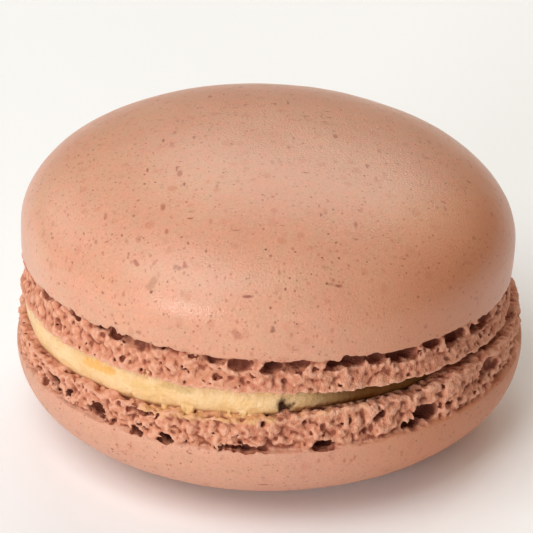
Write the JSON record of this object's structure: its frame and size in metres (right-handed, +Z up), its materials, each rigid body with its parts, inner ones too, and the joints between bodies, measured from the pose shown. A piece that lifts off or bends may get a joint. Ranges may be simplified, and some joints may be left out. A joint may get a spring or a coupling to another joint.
{
  "type": "coffee macaron",
  "caption": "Round coffee macaron: domed almond shells with ruffled feet and a layer of pale cream between them.",
  "frame": {"origin": "centre of the base of the bounding box, where the lower shell's flat underside rests", "axes": "+Z up through both shells; -Y is the front, the side that the picture looks at from above; +X is its right"},
  "size_m": [0.045, 0.045, 0.0279],
  "materials": {
    "upper_shell": "smooth satin baked almond skin, pinkish tan with fine brown specks; open crumb at the foot",
    "lower_shell": "smooth satin baked almond skin, pinkish tan with fine brown specks; open crumb at the foot",
    "cream": "soft pale yellow butter cream, satin"
  },
  "bodies": {
    "root": {"bottom_shell": "lower_shell", "filling": "cream", "top_shell": "upper_shell"}
  },
  "joints": []
}
